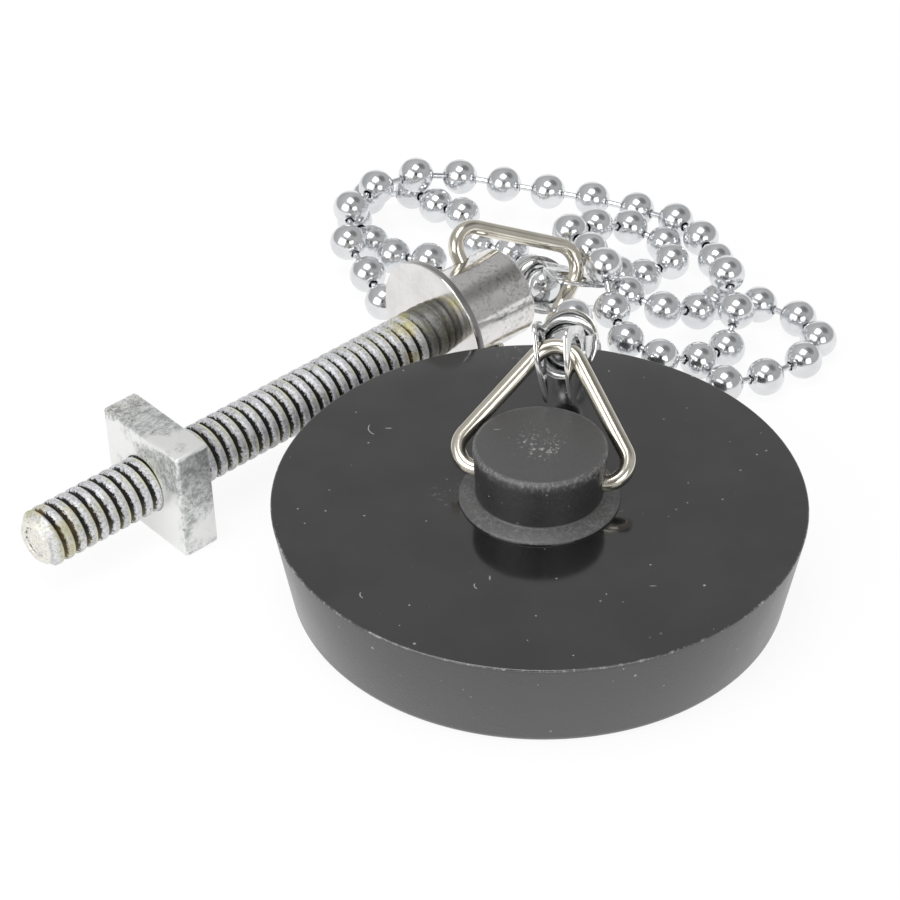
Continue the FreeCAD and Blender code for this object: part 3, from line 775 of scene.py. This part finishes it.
def studMesh(form, place):
    bm = bmesh.new()
    turns = math.ceil((form["length"] + form["start"]) / form["pitch"]) + 2
    bottom = -form["length"] - form["pitch"]
    verts = [bm.verts.new((radius * mm, 0, (bottom + height) * mm)) for radius, height in form["profile"]]
    edges = [bm.edges.new(pair) for pair in zip(verts[:-1], verts[1:])]
    rise = form["pitch"] / form["stepsPerTurn"] * mm
    bmesh.ops.spin(
        bm, geom=verts + edges, cent=(0, 0, 0), axis=(0, 0, 1), dvec=(0, 0, rise),
        angle=math.tau * turns, steps=turns * form["stepsPerTurn"], use_merge=False)
    bmesh.ops.remove_doubles(bm, verts=bm.verts, dist=2e-6)
    tip = -form["length"] * mm
    for level, way in ((tip, -1), (form["start"] * mm, 1)):
        cutAt(bm, (0, 0, level), (0, 0, way), True)
        gaps = [edge for edge in bm.edges if edge.is_boundary]
        loop = [edge for edge in gaps if all(abs(vert.co.z - level) < 1e-6 for vert in edge.verts)]
        bmesh.ops.holes_fill(bm, edges=loop, sides=0)
    for vert in bm.verts:
        limit = form["radius"] * mm - max(0, form["chamfer"] * mm - (vert.co.z - tip))
        reach = math.hypot(vert.co.x, vert.co.y)
        filled = form["fill"] * clamped(1 + (vert.co.z / mm - form["fadeEnd"]) / form["fade"])
        wanted = min(reach + (form["radius"] * mm - reach) * filled, limit)
        vert.co.x *= wanted / reach
        vert.co.y *= wanted / reach
    bmesh.ops.recalc_face_normals(bm, faces=bm.faces)
    cap = [face for face in bm.faces if face.normal.z < -0.99 and abs(face.calc_center_median().z - tip) < 1e-6]
    for shrink, deep in form["dish"]:
        rim = [edge for face in cap for edge in face.edges]
        grown = bmesh.ops.extrude_face_region(bm, geom=cap + rim)["geom"]
        cap = only(bmesh.types.BMFace, grown)
        verts = only(bmesh.types.BMVert, grown)
        bmesh.ops.scale(bm, vec=(shrink, shrink, 1), verts=verts)
        bmesh.ops.translate(bm, verts=verts, vec=(0, 0, deep * mm))
    mesh = bpy.data.meshes.new("stud")
    bm.to_mesh(mesh)
    bm.free()
    groove = mesh.attributes.new("groove", "FLOAT", "POINT")
    line = mesh.attributes.new("line", "FLOAT", "POINT")
    root = form["profile"][0][0]
    wallFrom, wallTo, dishWallShade = form["dishWall"]
    lineAt, lineHalf, lineEdge = form["line"]
    for index, vert in enumerate(mesh.vertices):
        reach = math.hypot(vert.co.x, vert.co.y) / mm
        turn = math.atan2(vert.co.y, vert.co.x) / math.tau
        height = ((vert.co.z / mm - bottom) / form["pitch"] - turn) % 1 * form["pitch"]
        atEnd = vert.co.z < tip + form["chamfer"] * mm
        onDishWall = vert.co.z > tip + 0.1 * mm and wallFrom < reach < wallTo
        deep = clamped((form["radius"] - reach) / (form["radius"] - root))
        # the dish wall counts as groove, to take the grooves' dirt and painted shade
        groove.data[index].value = dishWallShade if onDishWall else 0.0 if atEnd else deep
        line.data[index].value = 0.0 if atEnd else clamped(1 - (abs(height - lineAt) - lineHalf) / lineEdge)
    mesh.transform(place)
    return mesh


addPiece("stayStudThread", studMesh(studForm, stayPlace), "stay", ["stay_stud"], [threadZinc], 50)
print("stud made")


# square nut
nutForm = {
    "width": 9.6,
    "thickness": 3.2,
    "reach": 26.7,
    "edge": 0.32,
    "bore": 2.45,
}


def nutMesh(form, place):
    bm = bmesh.new()
    bmesh.ops.create_cube(bm, size=1)
    bmesh.ops.scale(bm, vec=(form["width"] * mm, form["width"] * mm, form["thickness"] * mm), verts=bm.verts)
    rounded(bm, bm.edges[:], form["edge"], 4)
    middle = form["reach"] + form["thickness"] / 2
    bmesh.ops.translate(bm, verts=bm.verts, vec=(0, 0, -middle * mm))
    bore = rod(form["bore"], -middle - 4, -middle + 4, 64)
    mesh = drilled(toMesh(bm), toMesh(bore))
    mesh.transform(place)
    return mesh


addPiece("staySquareNut", nutMesh(nutForm, nutPlace), "nut", ["stay_nut"], [nutZinc])
print("nut made")


# chain, by stretches from the stay to the plug; points in mm
chainForm = {
    "ballRadius": 1.6,
    "holeRadius": 0.46,
    "lip": 0.08,
    "lipShrink": 0.86,
    "holeDepth": 0.7,
    "linkRadius": 0.27,
    "linkEntry": 0.75,
}
stayEndBall = stayClipHole / mm + stayClipAlong * layout["clipReach"]
plugEndBall = plugClipHole / mm + plugClipAlong * layout["clipReach"]
route = [
    ("stay_end", [stayEndBall, (0.4, 41.6, 1.6), (-1.2, 44.8, 1.6), (-4.4, 46.2, 1.6)]),
    ("left_under", [(-5.6, 49.2, 2.8), (-8.0, 51.8, 2.2), (-10.2, 55.2, 1.6), (-14.2, 54.2, 1.6)]),
    ("left_inside", [(-15.4, 50.2, 1.6), (-13.8, 46.4, 1.6), (-11.8, 43.6, 2.0), (-8.6, 42.2, 2.4)]),
    ("left_front", [(-6.2, 38.8, 1.6), (-8.6, 35.4, 1.6), (-12.6, 36.8, 1.6), (-14.0, 40.6, 2.0)]),
    ("left_over", [(-15.8, 44.0, 3.2), (-15.6, 47.8, 4.4), (-13.4, 51.4, 4.4), (-9.8, 53.2, 4.6)]),
    ("back_left", [(-5.8, 54.2, 3.8), (-1.8, 53.2, 3.6), (2.2, 52.2, 3.4), (6.2, 51.2, 3.2)]),
    ("back_right", [(10.2, 50.0, 2.8), (13.6, 47.8, 3.0), (15.6, 44.2, 3.4), (16.6, 40.2, 3.6)]),
    ("right_down", [(17.2, 36.2, 4.8), (17.8, 32.2, 3.6), (16.8, 29.2, 1.8), (14.2, 26.2, 2.6)]),
    ("front_turn", [(10.8, 24.6, 4.0), (8.0, 26.6, 4.4), (7.0, 30.0, 5.2), (6.4, 33.5, 7.4)]),
    # the first ball here leaves room for the stay ring
    ("middle_over", [(5.37, 37.6, 6.36), (3.8, 41.2, 6.0), (6.2, 44.4, 4.6), (9.4, 46.4, 3.2)]),
    ("middle_turn", [(12.4, 44.8, 2.4), (12.8, 41.0, 3.0), (10.2, 38.8, 2.8), (7.8, 36.8, 4.4)]),
    ("middle_front", [(8.4, 33.0, 4.8), (11.4, 31.2, 4.4), (14.6, 33.4, 2.8), (16.6, 36.6, 1.6)]),
    ("right_loop", [(20.2, 36.2, 1.6), (23.4, 34.0, 1.6), (24.8, 30.8, 1.6), (23.2, 27.4, 1.8)]),
    ("front_run", [(19.8, 25.2, 1.6), (16.2, 23.6, 2.0), (12.8, 22.4, 1.6), (9.4, 21.4, 1.6),
                   (6.2, 22.4, 2.8)]),
    ("plug_end", [(4.2, 23.6, 5.6), (3.2, 22.6, 8.8), (3.2, 19.8, 11.2), (2.8, 15.9, 12.0), plugEndBall]),
]


def addBall(bm, middle, ways, form):
    ball = bmesh.new()
    bmesh.ops.create_icosphere(ball, subdivisions=4, radius=form["ballRadius"] * mm)
    level = math.sqrt(form["ballRadius"] ** 2 - form["holeRadius"] ** 2) * mm
    for way in ways:
        cutAt(ball, way * level, way, True)
        loop = [edge for edge in ball.edges if edge.is_boundary]
        for deep, shrink in ((form["lip"], form["lipShrink"]), (form["holeDepth"], 1.0)):
            grown = bmesh.ops.extrude_edge_only(ball, edges=loop)["geom"]
            verts = only(bmesh.types.BMVert, grown)
            loop = only(bmesh.types.BMEdge, grown)
            centre = sum((vert.co for vert in verts), Vector()) / len(verts)
            for vert in verts:
                vert.co = centre + (vert.co - centre) * shrink - way * deep * mm
        for face in bmesh.ops.holes_fill(ball, edges=loop, sides=0)["faces"]:
            face.material_index = 1
            for edge in face.edges:
                for wall in edge.link_faces:
                    wall.material_index = 1
    bmesh.ops.recalc_face_normals(ball, faces=ball.faces)
    bmesh.ops.translate(ball, verts=ball.verts, vec=middle * mm)
    mesh = bpy.data.meshes.new("ball")
    ball.to_mesh(mesh)
    ball.free()
    bm.from_mesh(mesh)
    bpy.data.meshes.remove(mesh)


def addLink(bm, first, second, form):
    way = (second - first).normalized()
    inside = form["ballRadius"] - form["linkEntry"]
    length = (second - first).length - 2 * inside
    turn = skyward.rotation_difference(way).to_matrix().to_4x4()
    place = Matrix.Translation((first + second) / 2 * mm) @ turn
    bmesh.ops.create_cone(
        bm, cap_ends=True, segments=16, radius1=form["linkRadius"] * mm, radius2=form["linkRadius"] * mm,
        depth=length * mm, matrix=place)


spots = [Vector(point) for name, points in route for point in points]
number = 0
for name, points in route:
    body = "lead" if name == "plug_end" else "chain"
    balls = bmesh.new()
    links = bmesh.new()
    for spot in spots[number:number + len(points)]:
        ways = []
        if number + 1 < len(spots):
            ways.append((spots[number + 1] - spot).normalized())
        if number > 0:
            ways.append((spots[number - 1] - spot).normalized())
            addLink(links, spots[number - 1], spot, chainForm)
        addBall(balls, spot, ways, chainForm)
        number += 1
    addPiece("balls_" + name, toMesh(balls, None, False), body, ["chain_balls_" + name], [chrome, hollow])
    addPiece("links_" + name, toMesh(links, None, False), body, ["chain_links_" + name], [chrome])
print("chain made:", len(spots), "balls")


# camera at the photograph's angle
cameraForm = {
    "place": (-6.7916, -182.005, 146.357),
    "down": 36.319,   # degrees below the level
    "roll": -0.182,
    "lens": 120,
    "sensor": 36,
    "clip": (0.01, 20),
}
camera = bpy.data.objects.new("camera", bpy.data.cameras.new("camera"))
camera.data.lens = cameraForm["lens"]
camera.data.sensor_width = cameraForm["sensor"]
camera.data.clip_start, camera.data.clip_end = cameraForm["clip"]
down = math.radians(cameraForm["down"])
roll = math.radians(cameraForm["roll"])
backward = Vector((0, -math.cos(down), math.sin(down)))
levelUp = Vector((0, math.sin(down), math.cos(down)))
rightward = Vector((1, 0, 0)) * math.cos(roll) + levelUp * math.sin(roll)
camera.matrix_world = standing(Vector(cameraForm["place"]) * mm, rightward, backward)
scene.collection.objects.link(camera)
scene.camera = camera


# pale floor, soft lights, a white backdrop and a greyer room in front of it
studio = {
    "floorSize": 6.0,
    "floorColour": 0.95,
    "floorGlow": 0.88,
    "glowStrength": 1.03,
    "lights": [
        # name, place in m, width, height, watts, aim in m
        ("overheadSoftbox", (-0.06, -0.06, 0.78), 0.40, 0.40, 1.7, (0, 0.02, 0)),
        ("leftSoftbox", (-0.48, -0.45, 0.38), 0.58, 0.50, 2.5, (0, 0.02, 0)),
        ("rightSoftbox", (0.33, -0.60, 0.32), 0.38, 0.38, 1.1, (0, 0.02, 0)),
    ],
    "room": 0.47,
    "shades": [
        # towards, degrees where it starts and where it is full, tone
        ((0, 0, 1), 75, 25, 0.55),
        ((0.15, -1, 0.5), 55, 25, 0.38),
        ((0.50, 0.15, 0.85), 30, 6, 0.20),
        (backward, 13, 7, 0.03),
    ],
    "backdrop": ((0, 1, 0.05), 24, 8),
}


def makeFloor(form):
    bm = bmesh.new()
    bmesh.ops.create_grid(bm, x_segments=1, y_segments=1, size=form["floorSize"] / 2)
    floor = bpy.data.objects.new("floor", toMesh(bm, None, False))
    scene.collection.objects.link(floor)
    material, tree, shader, coords = startMaterial("paleFloor")
    setInputs(shader, {"Base Color": grey(form["floorColour"]), "Roughness": 0.9, "Specular IOR Level": 0.0})
    glow = tree.nodes.new("ShaderNodeEmission")
    setInputs(glow, {"Color": grey(1.0), "Strength": form["glowStrength"]})
    rays = tree.nodes.new("ShaderNodeLightPath").outputs
    seen = calc(tree, "MAXIMUM", rays["Is Camera Ray"], rays["Is Glossy Ray"], rays["Is Transmission Ray"])
    mixer = tree.nodes.new("ShaderNodeMixShader")
    share = calc(tree, "MULTIPLY", seen, form["floorGlow"])
    setInputs(mixer, {0: share, 1: shader.outputs["BSDF"], 2: glow.outputs["Emission"]})
    setInputs(tree.nodes["Material Output"], {"Surface": mixer.outputs["Shader"]})
    floor.data.materials.append(material)


def makeLights(form):
    for name, place, width, height, watts, aim in form["lights"]:
        lamp = bpy.data.lights.new(name, "AREA")
        lamp.shape = "RECTANGLE"
        lamp.size = width
        lamp.size_y = height
        lamp.energy = watts
        light = bpy.data.objects.new(name, lamp)
        light.location = place
        light.rotation_euler = (Vector(aim) - Vector(place)).to_track_quat("-Z", "Y").to_euler()
        scene.collection.objects.link(light)


def makeSurround(form):
    world = bpy.data.worlds.new("studio")
    scene.world = world
    world.use_nodes = True
    tree = world.node_tree
    way = tree.nodes.new("ShaderNodeTexCoord").outputs["Generated"]

    def towards(direction, wide, narrow):
        share = alongWay(tree, way, Vector(direction).normalized())
        return remap(tree, share, math.cos(math.radians(wide)), math.cos(math.radians(narrow)))

    tone = grey(form["room"])
    for direction, wide, narrow, value in form["shades"]:
        tone = mixColour(tree, towards(direction, wide, narrow), tone, grey(value))
    room = tree.nodes["Background"]
    setInputs(room, {"Color": tone, "Strength": 1.0})
    white = tree.nodes.new("ShaderNodeBackground")
    setInputs(white, {"Color": grey(1.0), "Strength": 1.0})
    rays = tree.nodes.new("ShaderNodeLightPath").outputs
    mirrored = calc(tree, "MAXIMUM", rays["Is Glossy Ray"], rays["Is Transmission Ray"])
    backdrop = calc(tree, "MULTIPLY", mirrored, towards(*form["backdrop"]))
    mixer = tree.nodes.new("ShaderNodeMixShader")
    share = calc(tree, "MAXIMUM", rays["Is Camera Ray"], backdrop)
    setInputs(mixer, {0: share, 1: room.outputs["Background"], 2: white.outputs["Background"]})
    setInputs(tree.nodes["World Output"], {"Surface": mixer.outputs["Shader"]})


makeFloor(studio)
makeLights(studio)
makeSurround(studio)
print("studio made")
